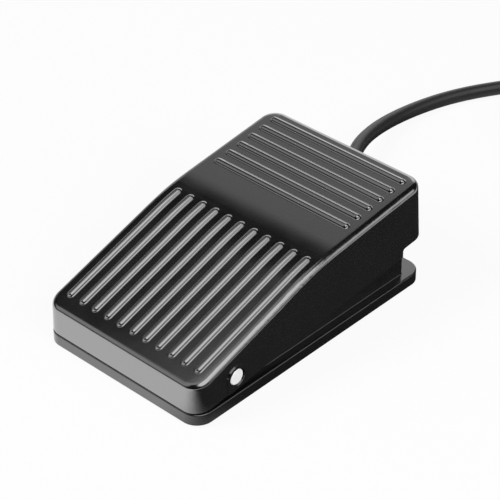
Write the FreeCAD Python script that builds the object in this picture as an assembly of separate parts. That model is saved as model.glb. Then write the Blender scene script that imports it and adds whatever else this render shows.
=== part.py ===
import FreeCAD, Part
import math
import os

os.makedirs("parts", exist_ok=True)

# Foot switch with a hinged pedal over a tray, a snap-action switch inside and a lead at the back.
# Millimetres. X to the right, Y from the toe end to the cable end, Z up, floor at z = 0.

# Base tray
base_length = 98.0
base_width = 62.1
base_band = 3.6            # height of the plain band round the base
base_corner = 5.5
base_top_round = 0.5
foot_standoff = 1.0        # how far the rubber feet hold the base off the floor
floor_thickness = 2.0
upstand_inset = 2.75       # from the side of the base to the upright wall
upstand_front = 4.0        # from the front of the base to the upright wall
upstand_rear = 6.5         # from the back of the base to the upright wall
upstand_wall = 1.8
upstand_front_height = 8.0
upstand_rear_height = 16.5
upstand_root_round = 0.3
upstand_corner = 1.2
upstand_inner_corner = 1.0

# Rubber feet
foot_radius = 5.0
foot_recess = 0.8
foot_edge_x = 9.0
foot_edge_y = 10.0
foot_clearance = 0.1
foot_chamfer = 0.5

# Pedal shell
pedal_overhang = 0.7       # how far the pedal stands past the back of the base
pedal_side_step = 0.05     # from the side of the base to the side of the pedal
pedal_wall = 2.0
pedal_roof = 2.2
pedal_corner = 5.5
pedal_edge_round = 2.0
inner_corner_share = 0.8   # of the inset, taken off the corners of the hollow
pedal_front_height = 13.1  # roof line at the front wall, above the underside of the base
pedal_bend_y = 50.4        # from the front of the base
pedal_bend_height = 29.6
pedal_rear_height = 35.5
pedal_bend_radius = 30.0
side_draft = 0.8
front_draft = 1.6
rear_draft = 3.4
skirt_gap = 0.5            # between skirt and base at the toe end
skirt_rise = 5.45          # degrees, skirt edge against the base at rest
skirt_from_back = 10.7     # from the back of the pedal to the end of the side skirt
skirt_end_height = 15.3
skirt_step_round = 1.0
rear_wall_height = 16.7

# Grip beads on the pedal
toe_beads = 11
toe_bead_pitch = 5.147
toe_bead_start = 6.2
heel_beads = 6
heel_bead_from_back = 6.1
heel_bead_pitch = 5.0
heel_bead_reach = 25.3
bead_radius = 1.1
bead_height = 0.95
roof_sink = 0.6            # how far a bead's root reaches below the roof

# Hinge
pin_y = 16.0
pin_height = 9.6
pin_radius = 2.5
pin_recess = 0.2           # from the face of the pad to the end of the pin
pin_chamfer = 0.15
pin_running_clearance = 0.05
pin_seat_clearance = 0.02
pin_ring_radius = 3.0
pin_ring_depth = 0.5
pad_half_width = 3.85
pad_raise = 0.35
ear_radius = 4.5
ear_depth = 4.8
travel = 6.5               # degrees that the pedal goes down

# Pedal stops
hook_y = 62.0
hook_width = 6.0
hook_thickness = 1.8
hook_inset = 2.0           # from the inside of the upright wall to the hook arm
hook_nose = 1.4
hook_nose_height = 1.8
hook_low = 7.8
stop_gap = 0.3
catch_height = 2.0
catch_clearance = 0.3
catch_overlap = 1.0        # past each side of the hook

# Return spring
spring_y = 70.0
spring_radius = 5.0        # to the middle of the wire
spring_wire = 0.6          # radius of the wire
spring_turns = 6.5
spring_seat_height = 27.6
spring_boss_radius = 7.2
spring_stub_radius = 3.4
spring_stub_low = 4.0
spring_stub_high = 3.0

# Snap-action switch
case_front = 40.0
case_length = 19.8
case_width = 6.4
case_height = 10.2
case_bottom = 8.6
case_wall = 1.0
cover_thickness = 1.2
cover_round = 0.4
case_hole_radius = 1.18
case_hole_pitch = 9.5
case_hole_low = 2.6
case_boss_radius = 1.9
plunger_radius = 1.2
plunger_flange = 1.7
plunger_flange_height = 0.8
plunger_clearance = 0.06
plunger_tip_round = 1.08
lever_pivot_inset = 1.5
lever_pivot_rise = 1.1
lever_pin_radius = 0.5
lever_pin_inset = 0.1      # from the side of the case to the end of the pin
lever_eye_clearance = 0.03
lever_side_gap = 0.1
lever_ear_half = 1.2
lever_ear_rise = 1.0       # above the lever's pin
lever_thickness = 0.4
lever_width = 3.6
lever_to_plunger = 6.0
lever_to_post = 17.0
lever_length = 18.2
lever_rest_angle = 9.84
lever_gap = 0.25           # between pedal post and lever
plunger_gap = 0.06         # between lever and plunger
blade_height = 7.0         # underside of the moving blade above the bottom of the case
blade_thickness = 0.25
blade_width = 2.6
blade_margin = 0.3         # past the contact and past the plunger's flange
blade_window = 5.4         # from the plunger to the front of the window
blade_curl_radius = 0.45
blade_gap = 0.95           # plunger free travel before it meets the blade
contact_radius = 1.1
contact_gap = 0.9
contact_touch = 0.1
contact_head = 0.5
contact_shank_radius = 0.66
contact_fit = 0.01
contact_from_nc = 2.2
terminal_thickness = 0.5
terminal_width = 3.2
terminal_length = 5.8
terminal_neck = 0.8
terminal_gap = 0.05
terminal_eye_radius = 0.7
terminal_eye_up = 1.7      # from the end of the terminal
terminal_slot_gap = 0.03
terminal_slot_past = 0.5   # how far a slot reaches above the case's floor
hinge_drop = 0.38          # from the blade down to the common terminal's shelf
com_back = 2.0             # from the end of the case to the middle of the terminal
no_middle = 9.9            # from the front of the case
nc_front = 2.2

# Switch bracket and screws
bracket_thickness = 2.8
bracket_clearance = 0.2
bracket_height = 12.0
bracket_inset = 0.5        # from the end of the case to the end of the bracket
bracket_brace = 8.4
screw_radius = 1.1
screw_pilot_clearance = 0.03
screw_head_radius = 2.0
screw_head_height = 1.3
screw_slot = 0.5
screw_edge = 0.45
screw_tip = 0.4
screw_slot_reach = 1.3
screw_slot_depth = 0.6
screw_hole_clearance = 0.1
screw_hole_floor = 0.6     # left under a blind hole
screw_engage = 2.4
clamp_screw_engage = 4.0

# Pedal post over the lever
post_radius = 1.0
post_half_width = 2.4
post_web = 1.4
post_web_front = 4.0
post_web_back = 2.0
post_web_rise = 1.2        # from the lever face of the post to the web

# Roof ribs inside the pedal and floor ribs in the tray
roof_rib_x = 12.0
roof_rib_thickness = 1.4
roof_rib_depth = 3.0
roof_rib_start = 26.0
roof_rib_end = 60.0
floor_rib_x = 18.0
floor_rib_thickness = 1.4
floor_rib_height = 2.4

# Cable, boot and clamp
cable_radius = 2.4
cable_x = -14.0
cable_height = 7.0
sheath_from_back = 20.5    # where the sheath ends, from the back of the base
boot_neck_radius = 3.6
boot_shoulder_radius = 4.7
boot_shoulder = 1.8
boot_root_radius = 4.1
boot_tip_radius = 3.0
boot_reach = 17.0          # outside the upright wall
boot_clearance = 0.06
boot_bore_clearance = 0.05
channel_clearance = 0.4
boot_rings = 5
boot_ring_gap = 1.0
boot_ring_margin = 2.0
boot_sway = 1.2            # side room in the back of the pedal
boot_drop_clearance = 0.3
clamp_from_back = 16.5
clamp_length = 5.0
clamp_half_width = 8.2
clamp_screw_offset = 5.5
clamp_thickness = 1.9
clamp_corner = 1.5
clamp_arch_wall = 1.4
clamp_gap = 0.3
clamp_boss_radius = 2.3
saddle_half_width = 2.9
saddle_clearance = 0.03

# Cores inside the housing and at the far end
core_radius = 0.8
core_ring = 1.15           # from the middle of the cable to the middle of a core
section_sides = 8          # flat sides of a core or of the spring's wire
core_straight = 3.0        # out of the sheath before a core turns to its lane
core_slope = 13.0
core_bend = 2.5
core_lane_height = 4.0
core_lanes = [-6.6, -9.4, -12.2]
core_names = ["com", "no", "nc"]
core_places = [330, 90, 210]   # degrees round the lead

# Lead outside the housing, from the back of the base to the coil: right of the middle of the part,
# beyond the back of the base, above the floor
cable_floor = cable_radius
cable_route = [
    (cable_x, 0.0, foot_standoff + cable_height),
    (cable_x, 17.75, foot_standoff + cable_height),
    (-24.8, 32.35, 7.2),
    (-30.4, 48.85, 4.9),
    (-31.6, 67.85, 2.6),
    (-27.2, 85.35, cable_floor),
    (-18.5, 101.85, cable_floor),
    (-7.6, 116.35, cable_floor),
    (3.8, 128.55, cable_floor),
]
coil_middle_radius = 26.5
coil_columns = 3
coil_layers = 2
coil_layer_pitch = 4.4
coil_edge = 1.4            # bevel along the four rims of the bundle
tie_width = 3.0
tie_thickness = 0.7
tie_clearance = 0.1
tie_head_reach = 2.4
tie_head_half_width = 2.4
tie_head_half_height = 2.2
tie_angle = 250.0
cable_end_length = 12.0
cable_end_angle = 30.0     # where the lead's end lies on the coil
cable_end_inset = 2.0      # from the middle of the turns towards the coil's centre
lead_length = 26.0
lead_bare = 6.0
lead_bare_radius = 0.55
lead_angles = [9.0, 1.0, -10.0]
lead_gap = 0.2             # from the end of the sheath to where the cores turn away
bend_share = 0.45          # of the shorter run beside a corner, taken up by its arc

# Shared by all pieces
rest_gap = 0.02            # left between pieces that rest on each other
bite = 0.2                 # how far a feature starts inside the wall that it grows from
spare = 1.0                # how far a cutter stands past what it cuts
near = 0.01                # places closer than this count as one

# Places that follow from the sizes above
overall_length = base_length + pedal_overhang
front_y = -overall_length / 2
base_bottom = foot_standoff
base_top = base_bottom + base_band
floor_top = base_bottom + floor_thickness
hinge_y = front_y + pin_y
hinge_z = base_bottom + pin_height
pedal_width = base_width - 2 * pedal_side_step
upstand_half = base_width / 2 - upstand_inset
inner_half = upstand_half - upstand_wall
case_y = front_y + case_front
case_z = base_bottom + case_bottom
case_top = case_z + case_height
case_half = case_width / 2
cable_z = base_bottom + cable_height
base_back = front_y + base_length
clamp_y = base_back - clamp_from_back
sheath_y = base_back - sheath_from_back
pad_out = pedal_width / 2 - pin_height * math.tan(math.radians(side_draft)) + pad_raise
# The rear wall has its full overhang at its lower edge
rear_lean = (rear_wall_height - base_band) * math.tan(math.radians(rear_draft))
far = 200.0


def vec(x, y, z):
    return FreeCAD.Vector(x, y, z)


def box(x0, x1, y0, y1, z0, z1):
    return Part.makeBox(x1 - x0, y1 - y0, z1 - z0, vec(x0, y0, z0))


def rod(start, direction, radius, length):
    return Part.makeCylinder(radius, length, vec(*start), vec(*direction))


def save(shape, name):
    solids = shape.Solids
    group = solids[0] if len(solids) == 1 else Part.makeCompound(solids)
    group.exportStep("parts/" + name + ".step")
    print(name, "solids", len(solids), "volume", round(group.Volume, 2), "valid", group.isValid())


# A chain of straight runs with tangent arcs at its corners
def rounded_edges(points, radii, closed):
    count = len(points)
    starts = list(points)
    ends = list(points)
    arcs = [None] * count
    for i in range(count):
        if radii[i] <= 0:
            continue
        back = (points[i - 1] - points[i]).normalize()
        ahead = (points[(i + 1) % count] - points[i]).normalize()
        turn = math.pi - back.getAngle(ahead)
        reach = radii[i] * math.tan(turn / 2)
        starts[i] = points[i] + back * reach
        ends[i] = points[i] + ahead * reach
        middle = points[i] + (back + ahead).normalize() * (radii[i] / math.cos(turn / 2) - radii[i])
        arcs[i] = Part.Arc(starts[i], middle, ends[i]).toShape()
    edges = []
    for i in range(count if closed else count - 1):
        if arcs[i]:
            edges.append(arcs[i])
        following = (i + 1) % count
        edges.append(Part.LineSegment(ends[i], starts[following]).toShape())
    return edges


# A solid with a side outline given in Y and Z, drawn through from one X to another
def side_solid(outline, radii, x0, x1):
    points = [vec(x0, y, z) for y, z in outline]
    wire = Part.Wire(rounded_edges(points, radii, True))
    return Part.Face(wire).extrude(vec(x1 - x0, 0, 0))


def plan_wire(half, y0, y1, corner, z):
    points = [vec(-half, y0, z), vec(half, y0, z), vec(half, y1, z), vec(-half, y1, z)]
    return Part.Wire(rounded_edges(points, [corner] * 4, True))


def plan_solid(half, y0, y1, corner, z0, z1):
    return Part.Face(plan_wire(half, y0, y1, corner, z0)).extrude(vec(0, 0, z1 - z0))


def roof_line(y):
    # Height of the pedal's roof at a place along the pedal, before the bend is rounded
    bend_y = front_y + pedal_bend_y
    if y < bend_y:
        slope = (pedal_bend_height - pedal_front_height) / pedal_bend_y
    else:
        slope = (pedal_rear_height - pedal_bend_height) / (overall_length - pedal_bend_y)
    return base_bottom + pedal_bend_height + slope * (y - bend_y)


# The pedal's form, drafted on all four sides, for its outside and again for its hollow
def pedal_form(inset, drop):
    low = base_top
    high = base_bottom + pedal_rear_height + 2 * spare
    rise = high - low
    outlines = []
    for z in (low, high):
        up = z - low
        half = pedal_width / 2 - inset - up * math.tan(math.radians(side_draft))
        y0 = front_y + inset + up * math.tan(math.radians(front_draft))
        y1 = front_y + overall_length - inset - up * math.tan(math.radians(rear_draft)) + rear_lean
        outlines.append(plan_wire(half, y0, y1, pedal_corner - inset * inner_corner_share, z))
    block = Part.makeLoft(outlines, True, True)
    past = 10.0
    y0 = front_y - past
    y1 = front_y + overall_length + past
    bend_y = front_y + pedal_bend_y
    outline = [(y0, low - rise), (y0, roof_line(y0) - drop), (bend_y, roof_line(bend_y) - drop),
               (y1, roof_line(y1) - drop), (y1, low - rise)]
    profile = side_solid(outline, [0, 0, pedal_bend_radius - drop, 0, 0], -pedal_width, pedal_width)
    return block.common(profile)


def round_roof_edges(form):
    bend_y = front_y + pedal_bend_y
    off_roof = 0.3
    off_bend = 10.0
    chosen = []
    for edge in form.Edges:
        run = edge.LastParameter - edge.FirstParameter
        places = [edge.valueAt(edge.FirstParameter + share * run) for share in (0.1, 0.5, 0.9)]
        on_roof = all(abs(p.z - roof_line(p.y)) < off_roof for p in places)
        across = abs(places[0].x - places[2].x) > 2 * pedal_corner and abs(places[0].y - bend_y) < off_bend
        if on_roof and not across:
            chosen.append(edge)
    return form.makeFillet(pedal_edge_round, chosen)


# A grip bead: a rod sunk in the roof, ended by upright rounds
def bead(start, end):
    length = (end - start).Length
    direction = (end - start).normalize()
    reach = bead_radius + roof_sink
    run = vec(direction.x, direction.y, 0).normalize()
    rod_start = start - direction * bead_radius
    shape = Part.makeCylinder(bead_radius, length + 2 * bead_radius, rod_start, direction)
    side = vec(-run.y, run.x, 0) * bead_radius
    low = vec(0, 0, min(start.z, end.z) - reach)
    a = vec(start.x, start.y, 0) + low
    b = vec(end.x, end.y, 0) + low
    edges = [Part.Arc(a + side, a - run * bead_radius, a - side).toShape(),
             Part.LineSegment(a - side, b - side).toShape(),
             Part.Arc(b - side, b + run * bead_radius, b + side).toShape(),
             Part.LineSegment(b + side, a + side).toShape()]
    plan = Part.Face(Part.Wire(edges)).extrude(vec(0, 0, abs(end.z - start.z) + 3 * reach))
    return shape.common(plan)


def roof_point(x, along):
    y = front_y + along
    return vec(x, y, roof_line(y) + bead_height - bead_radius)


def pedal_beads():
    beads = []
    for i in range(toe_beads):
        x = (i - (toe_beads - 1) / 2) * toe_bead_pitch
        beads.append(bead(roof_point(x, toe_bead_start), roof_point(x, pedal_bend_y)))
    for i in range(heel_beads):
        along = overall_length - heel_bead_from_back - i * heel_bead_pitch
        beads.append(bead(roof_point(-heel_bead_reach, along), roof_point(heel_bead_reach, along)))
    return beads


# Skirt edge: rises from the toe end, then steps up behind the end of the side skirt
def skirt_cut():
    past = 5.0
    low = base_bottom - past
    y0 = front_y - past
    slope = math.tan(math.radians(skirt_rise))
    start = base_top + skirt_gap - past * slope
    end_y = front_y + overall_length - skirt_from_back
    end_z = base_top + skirt_gap + (end_y - front_y) * slope
    y1 = front_y + overall_length + past
    outline = [(y0, low), (y0, start), (end_y, end_z), (end_y, base_bottom + skirt_end_height),
               (y1, base_bottom + rear_wall_height), (y1, low)]
    return side_solid(outline, [0, 0, 0, skirt_step_round, 0, 0], -far, far)


def hinge_bore(radius, x0, x1):
    return rod((x0, hinge_y, hinge_z), (1, 0, 0), radius, x1 - x0)


def both_sides(shape):
    return [shape, shape.mirror(vec(0, 0, 0), vec(1, 0, 0))]


# Height that the hook reaches down to, and the underside of the catch above its nose
hook_low_z = base_bottom + hook_low
catch_z = hook_low_z + hook_nose_height + stop_gap
hook_outer = inner_half - hook_inset


def pedal_hook():
    y0 = front_y + hook_y - hook_width / 2
    y1 = y0 + hook_width
    top = roof_line(y0) - pedal_roof / 2
    arm = box(hook_outer - hook_thickness, hook_outer, y0, y1, hook_low_z, top)
    nose = box(hook_outer, hook_outer + hook_nose, y0, y1, hook_low_z, hook_low_z + hook_nose_height)
    return arm.fuse(nose)


def make_pedal():
    outer = round_roof_edges(pedal_form(0.0, 0.0))
    hollow = pedal_form(pedal_wall, pedal_roof)
    beads = pedal_beads()
    shell = outer.fuse(beads).cut(hollow)
    # Ribs under the roof
    deeper = pedal_form(pedal_wall, pedal_roof + roof_rib_depth)
    band = hollow.cut(deeper)
    inside = []
    for side in (-1, 1):
        x = side * roof_rib_x
        y0 = front_y + roof_rib_start
        y1 = front_y + roof_rib_end
        slab = box(x - roof_rib_thickness / 2, x + roof_rib_thickness / 2, y0, y1, 0, far)
        inside.append(slab.common(band))
    # Spring boss with its locating stub
    y = front_y + spring_y
    seat = base_bottom + spring_seat_height
    top = roof_line(y - spring_boss_radius) - pedal_roof / 2
    inside.append(rod((0, y, seat), (0, 0, 1), spring_boss_radius, top - seat))
    inside.append(rod((0, y, seat - spring_stub_high), (0, 0, 1), spring_stub_radius,
                      top - seat + spring_stub_high))
    # Post that presses the lever
    y = post_y
    top = roof_line(y) - pedal_roof / 2
    foot = rod((-post_half_width, y, post_low + post_radius), (1, 0, 0), post_radius, 2 * post_half_width)
    stem = box(-post_half_width, post_half_width, y - post_radius, y + post_radius,
               post_low + post_radius, top)
    web = box(-post_web / 2, post_web / 2, y - post_web_front, y + post_web_back,
              post_low + post_web_rise, far)
    inside += [foot, stem, web.common(hollow)]
    for hook in both_sides(pedal_hook()):
        inside.append(hook)
    # Pads round the ends of the hinge pin
    pad_in = pedal_width / 2 - pedal_wall + bite
    pad = box(pad_in, pad_out, hinge_y - pad_half_width, hinge_y + pad_half_width, base_top, hinge_z)
    pad = pad.fuse(hinge_bore(pad_half_width, pad_in, pad_out))
    shell = shell.fuse(inside + both_sides(pad))
    shell = shell.cut(skirt_cut())
    shell = shell.cut(hinge_bore(pin_radius + pin_running_clearance, -far, far))
    ring = hinge_bore(pin_ring_radius, pad_out - pin_ring_depth, pad_out + spare)
    for cutter in both_sides(ring):
        shell = shell.cut(cutter)
    # Arch over the cable boot in the back wall
    half = boot_root_radius + boot_sway
    arch_top = cable_z + drop_at_back + half
    y0 = front_y + overall_length - 4 * pedal_wall
    arch = rod((cable_x, y0, arch_top - half), (0, 1, 0), half, far)
    arch = arch.fuse(box(cable_x - half, cable_x + half, y0, y0 + far, cable_z, arch_top - half))
    return shell.cut(arch).removeSplitter()


# Where the lever turns, where the pedal post meets it and how far down the post starts
pivot_y = case_y + case_length - lever_pivot_inset
pivot_z = case_top + lever_pivot_rise
rest_slope = math.tan(math.radians(lever_rest_angle))
post_y = pivot_y - lever_to_post
post_low = pivot_z + lever_to_post * rest_slope + lever_thickness / 2 + lever_gap
drop_at_back = (overall_length - pin_y) * math.sin(math.radians(travel)) + boot_drop_clearance


def foot_places():
    x = base_width / 2 - foot_edge_x
    y = base_length / 2 - foot_edge_y
    middle = front_y + base_length / 2
    return [("front_left", -x, middle - y), ("front_right", x, middle - y),
            ("rear_left", -x, middle + y), ("rear_right", x, middle + y)]


def make_base():
    y0 = front_y
    y1 = front_y + base_length
    plate = plan_solid(base_width / 2, y0, y1, base_corner, base_bottom, base_top)
    rim = [e for e in plate.Edges if abs(e.BoundBox.ZMin - base_top) < near]
    plate = plate.makeFillet(base_top_round, rim)
    # Upright wall, lower at the toe end
    w0 = y0 + upstand_front
    w1 = y1 - upstand_rear
    wall_top = base_bottom + upstand_rear_height
    wall = plan_solid(upstand_half, w0, w1, upstand_corner, floor_top, wall_top + spare)
    top = [(w0 - spare, base_bottom + upstand_front_height), (w0 - spare, far),
           (w1 + spare, far), (w1 + spare, wall_top)]
    wall = wall.cut(side_solid(top, [0] * 4, -far, far))
    body = plate.fuse(wall)
    root = [e for e in body.Edges
            if abs(e.BoundBox.ZMin - base_top) < near and abs(e.BoundBox.ZMax - base_top) < near
            and e.BoundBox.XMin > -upstand_half - near and e.BoundBox.XMax < upstand_half + near
            and e.BoundBox.YMin > w0 - near and e.BoundBox.YMax < w1 + near]
    body = body.makeFillet(upstand_root_round, root)
    pocket = plan_solid(inner_half, w0 + upstand_wall, w1 - upstand_wall, upstand_inner_corner,
                        floor_top, far)
    body = body.cut(pocket)
    added = []
    # Ears that carry the hinge pin
    ear = box(upstand_half - ear_depth, upstand_half, hinge_y - ear_radius, hinge_y + ear_radius,
              floor_top, hinge_z)
    ear = ear.fuse(hinge_bore(ear_radius, upstand_half - ear_depth, upstand_half))
    added += both_sides(ear)
    # Catches over the pedal hooks
    catch_y = front_y + hook_y
    catch_reach = hook_width / 2 + catch_overlap
    catch = box(hook_outer + catch_clearance, inner_half + bite, catch_y - catch_reach,
                catch_y + catch_reach, catch_z, catch_z + catch_height)
    added += both_sides(catch)
    # Spring stub, bracket for the switch, ribs on the floor
    added.append(rod((0, front_y + spring_y, floor_top), (0, 0, 1), spring_stub_radius, spring_stub_low))
    bracket_x = case_half + bracket_clearance
    b0 = case_y + bracket_inset
    b1 = case_y + case_length - bracket_inset
    brace = bracket_thickness / 2
    added.append(box(bracket_x, bracket_x + bracket_thickness, b0, b1, floor_top,
                     base_bottom + bracket_height + screw_head_radius))
    for end in (b0, b1 - brace):
        added.append(box(bracket_x, bracket_x + bracket_brace, end, end + brace, floor_top,
                         base_bottom + bracket_height / 2))
    for side in (-1, 1):
        x = side * floor_rib_x
        added.append(box(x - floor_rib_thickness / 2, x + floor_rib_thickness / 2,
                         hinge_y + 2 * ear_radius, catch_y, floor_top, floor_top + floor_rib_height))
    # Saddle and screw bosses under the cable clamp
    y = clamp_y
    added.append(box(cable_x - saddle_half_width, cable_x + saddle_half_width, y - clamp_length / 2,
                     y + clamp_length / 2, floor_top, cable_z - clamp_gap / 2))
    for side in (-1, 1):
        added.append(rod((cable_x + side * clamp_screw_offset, y, floor_top), (0, 0, 1),
                         clamp_boss_radius, cable_z + clamp_gap - floor_top))
    body = body.fuse(added)
    cuts = [hinge_bore(pin_radius + pin_seat_clearance, -far, far)]
    # Cable bore in the saddle, hole in the back wall and channel across the flange
    bore_y = y - clamp_length
    cuts.append(rod((cable_x, bore_y, cable_z), (0, 1, 0), cable_radius + saddle_clearance,
                    2 * clamp_length))
    cuts.append(rod((cable_x, w1 - 2 * upstand_wall, cable_z), (0, 1, 0),
                    boot_neck_radius + boot_clearance, 4 * upstand_wall))
    channel = boot_shoulder_radius + channel_clearance
    cuts.append(rod((cable_x, w1, cable_z), (0, 1, 0), channel, far))
    pilot = screw_radius + screw_pilot_clearance
    for side in (-1, 1):
        cuts.append(rod((cable_x + side * clamp_screw_offset, y, floor_top + screw_hole_floor), (0, 0, 1),
                        pilot, far))
    for hole_y in case_hole_places():
        cuts.append(rod((0, hole_y, case_z + case_hole_low), (1, 0, 0), pilot, bracket_x + bracket_brace))
    for name, x, foot_y in foot_places():
        cuts.append(rod((x, foot_y, 0), (0, 0, 1), foot_radius + foot_clearance,
                        foot_standoff + foot_recess))
    for cutter in cuts:
        body = body.cut(cutter)
    return body.removeSplitter()


def case_hole_places():
    middle = case_y + case_length / 2
    return [middle - case_hole_pitch / 2, middle + case_hole_pitch / 2]


def make_feet():
    for name, x, y in foot_places():
        foot = rod((x, y, 0), (0, 0, 1), foot_radius, foot_standoff + foot_recess - rest_gap)
        rim = [e for e in foot.Edges if e.BoundBox.ZMax < near]
        save(foot.makeChamfer(foot_chamfer, rim), "rubber_foot_" + name)


def make_pin():
    half = pad_out - pin_recess
    pin = hinge_bore(pin_radius, -half, half)
    ends = [e for e in pin.Edges if e.BoundBox.XLength < near]
    return pin.makeChamfer(pin_chamfer, ends)


def make_spring():
    low = floor_top + spring_wire + rest_gap
    high = base_bottom + spring_seat_height - spring_wire - rest_gap
    height = high - low
    helix = Part.makeHelix(height / spring_turns, height, spring_radius)
    wire = Part.Wire(helix.Edges)
    section = flat_section(vec(spring_radius, 0, 0), spring_wire)
    spring = wire.makePipeShell([section], True, True)
    spring.translate(vec(0, front_y + spring_y, low))
    return spring


# Snap-action switch: case, cover, plunger, lever, blade, contacts and terminals
cover_x = -case_half
split_x = cover_x + cover_thickness
com_y = case_y + case_length - com_back
no_y = case_y + no_middle
nc_y = case_y + nc_front
plunger_y = pivot_y - lever_to_plunger
plunger_top = pivot_z + lever_to_plunger * rest_slope - lever_thickness / 2 - plunger_gap
blade_z = case_z + blade_height
contact_y = nc_y + contact_from_nc


def terminal_slots(extra):
    slots = []
    for y in (com_y, no_y, nc_y):
        slots.append(box(-terminal_thickness / 2 - extra, terminal_thickness / 2 + extra,
                         y - terminal_width / 2 - extra, y + terminal_width / 2 + extra,
                         case_z - spare, case_z + case_wall + terminal_slot_past))
    return slots


def screw_holes(radius):
    return [rod((-case_width, y, case_z + case_hole_low), (1, 0, 0), radius, 2 * case_width)
            for y in case_hole_places()]


# An ear that holds an end of the lever's pin
def lever_ear(x0, x1):
    return box(x0, x1, pivot_y - lever_ear_half, pivot_y + lever_ear_half, case_top - bite,
               pivot_z + lever_ear_rise)


def lever_bore(clearance):
    return rod((-far, pivot_y, pivot_z), (1, 0, 0), lever_pin_radius + clearance, 2 * far)


def make_case():
    body = box(split_x, case_half, case_y, case_y + case_length, case_z, case_top)
    hollow = box(split_x, case_half - case_wall, case_y + case_wall, case_y + case_length - case_wall,
                 case_z + case_wall, case_top - case_wall)
    body = body.cut(hollow)
    for y in case_hole_places():
        body = body.fuse(rod((split_x, y, case_z + case_hole_low), (1, 0, 0), case_boss_radius,
                             case_half - split_x))
    body = body.fuse(lever_ear(lever_width / 2 + lever_side_gap, case_half))
    for cutter in screw_holes(case_hole_radius) + terminal_slots(terminal_slot_gap):
        body = body.cut(cutter)
    body = body.cut(rod((0, plunger_y, case_top - 2 * case_wall), (0, 0, 1),
                        plunger_radius + plunger_clearance, 4 * case_wall))
    return body.cut(lever_bore(pin_seat_clearance))


def make_cover():
    plate = box(cover_x, split_x, case_y, case_y + case_length, case_z, case_top)
    corners = [e for e in plate.Edges if e.BoundBox.XLength > cover_thickness / 2]
    plate = plate.makeFillet(cover_round, corners).fuse(lever_ear(cover_x, split_x))
    for cutter in screw_holes(case_hole_radius):
        plate = plate.cut(cutter)
    return plate.cut(lever_bore(pin_seat_clearance))


def make_plunger():
    low = blade_z + blade_thickness + blade_gap
    stem = rod((0, plunger_y, low), (0, 0, 1), plunger_radius, plunger_top - low)
    tip = [e for e in stem.Edges if e.BoundBox.ZMin > plunger_top - near]
    stem = stem.makeFillet(plunger_tip_round, tip)
    return stem.fuse(rod((0, plunger_y, low), (0, 0, 1), plunger_flange, plunger_flange_height))


def make_lever():
    # Strip with a rolled eye at the pivot, tilted to its rest angle
    half = lever_width / 2
    bore = lever_pin_radius + lever_eye_clearance
    eye = rod((-half, 0, 0), (1, 0, 0), bore + lever_thickness, lever_width)
    strip = box(-half, half, -lever_length, 0, -lever_thickness / 2, lever_thickness / 2)
    lever = eye.fuse(strip).cut(rod((-far, 0, 0), (1, 0, 0), bore, 2 * far))
    lever.rotate(vec(0, 0, 0), vec(1, 0, 0), -lever_rest_angle)
    lever.translate(vec(0, pivot_y, pivot_z))
    return lever


def make_lever_pin():
    half = case_half - lever_pin_inset
    return rod((-half, pivot_y, pivot_z), (1, 0, 0), lever_pin_radius, 2 * half)


blade_pivot_y = com_y
contact_low = blade_z - contact_head
contact_high = blade_z + blade_thickness + contact_head


def make_blade():
    half = blade_width / 2
    tip_y = contact_y - contact_radius - blade_margin
    blade = box(-half, half, tip_y, blade_pivot_y, blade_z, blade_z + blade_thickness)
    window_end = plunger_y - plunger_flange - blade_margin
    blade = blade.cut(box(-half / 2, half / 2, plunger_y - blade_window, window_end, 0, far))
    blade = blade.cut(rod((0, contact_y, 0), (0, 0, 1), contact_shank_radius + contact_fit, far))
    curl_z = blade_z + blade_thickness / 2
    curl = rod((-half, blade_pivot_y, curl_z), (1, 0, 0), blade_curl_radius, blade_width)
    return blade.fuse(curl)


def make_moving_contact():
    # Two heads and the shank that joins them through the blade
    head = contact_head - contact_fit
    shank = rod((0, contact_y, contact_low), (0, 0, 1), contact_shank_radius, contact_high - contact_low)
    lower = rod((0, contact_y, contact_low), (0, 0, 1), contact_radius, head)
    upper = rod((0, contact_y, contact_high - head), (0, 0, 1), contact_radius, head)
    return lower.fuse(shank).fuse(upper)


def terminal_leg(y, top):
    leg = box(-terminal_thickness / 2, terminal_thickness / 2, y - terminal_width / 2,
              y + terminal_width / 2, case_z - terminal_length, top)
    eye_z = case_z - terminal_length + terminal_eye_up
    eye = rod((-spare, y, eye_z), (1, 0, 0), terminal_eye_radius, 2 * spare)
    return leg.cut(eye)


# A flat strip of a terminal inside the case
def strip(half, y0, y1, z0, z1):
    return box(-half, half, y0, y1, z0, z1)


def make_terminals():
    thin = terminal_thickness / 2
    wide = blade_width / 2
    shelf = terminal_thickness
    # Common terminal carries the blade's hinge
    com_top = blade_z - hinge_drop
    com = terminal_leg(com_y, case_z + case_wall)
    com = com.fuse(strip(thin, com_y - terminal_neck, com_y + terminal_neck, case_z, com_top))
    com = com.fuse(strip(wide, com_y - terminal_neck, com_y + terminal_neck, com_top - shelf, com_top))
    save(com, "terminal_com")
    # Normally open terminal passes under the moving contact
    open_top = contact_low - contact_gap - contact_head
    no = terminal_leg(no_y, case_z + case_wall)
    no = no.fuse(strip(thin, no_y - terminal_neck, no_y + terminal_neck, case_z, open_top))
    no = no.fuse(strip(wide, contact_y - contact_radius, no_y + terminal_neck, open_top - shelf, open_top))
    save(no, "terminal_no")
    save(rod((0, contact_y, open_top), (0, 0, 1), contact_radius, contact_head), "contact_no")
    # Normally closed terminal reaches over the moving contact
    closed_low = contact_high + contact_touch + contact_head
    end = case_y + case_wall + terminal_gap
    nc = terminal_leg(nc_y, case_z + case_wall)
    nc = nc.fuse(strip(wide, end, contact_y + contact_radius, closed_low, closed_low + shelf))
    nc = nc.fuse(strip(thin, end, end + terminal_neck, case_z + case_wall, closed_low + shelf))
    save(nc, "terminal_nc")
    head = rod((0, contact_y, closed_low - contact_head), (0, 0, 1), contact_radius, contact_head)
    save(head, "contact_nc")


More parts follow.
